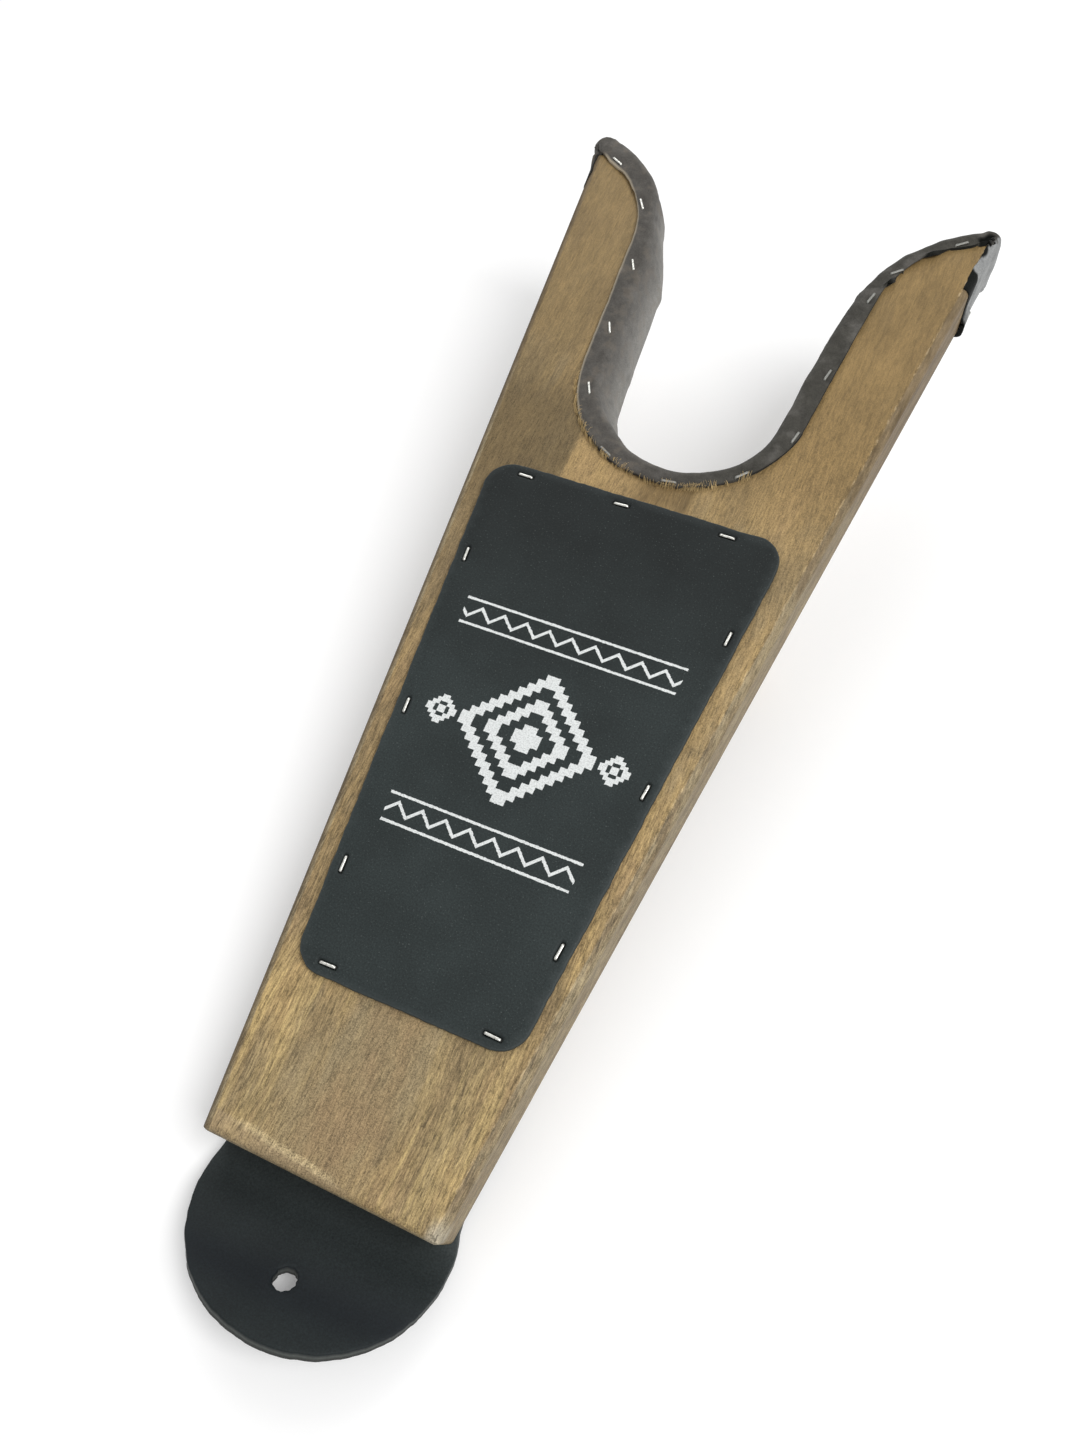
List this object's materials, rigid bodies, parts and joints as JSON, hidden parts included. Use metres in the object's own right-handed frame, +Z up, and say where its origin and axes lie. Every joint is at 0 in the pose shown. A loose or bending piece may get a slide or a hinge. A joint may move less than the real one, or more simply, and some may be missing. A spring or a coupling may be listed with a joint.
{
  "type": "boot jack",
  "caption": "Wooden boot jack: a tapered board on a riser with a suede-lined heel notch, a stapled leather foot pad and a bending leather hang tab at the tail.",
  "frame": {"origin": "on the floor, at the middle of the jack's bounding box", "axes": "+Y from the tail to the fork, +X to the right when seen from above with the fork away, +Z up from the floor"},
  "size_m": [0.1426, 0.3748, 0.0769],
  "materials": {
    "wood": "brown stain with a thin satin coat, short lengthwise grain flecks",
    "suede": "matte grey-brown suede",
    "leather": "black grained leather, low sheen",
    "steel": "galvanised wire, bright"
  },
  "bodies": {
    "jack": {"board": "wood", "riser": "wood", "riser_screws": "steel", "notch_liner": "suede", "liner_staples_left": "steel", "liner_staples_right": "steel", "liner_staples_throat": "steel", "liner_staples_under": "steel", "flap_staples": "steel", "foot_pad": "leather", "pad_staples_front": "steel", "pad_staples_rear": "steel", "pad_staples_left": "steel", "pad_staples_right": "steel", "tab_root": "leather", "tab_staples": "steel"},
    "hang_tab": {"tab_flap": "leather"}
  },
  "joints": [
    {"name": "tab_flex", "type": "hinge", "parent": "jack", "child": "hang_tab", "pos_m": [0.002, -0.15189, 0.00185], "axis": [-1, 0, 0], "range_deg": [-19, 50], "stiffness_Nm_per_rad": 0.15}
  ]
}
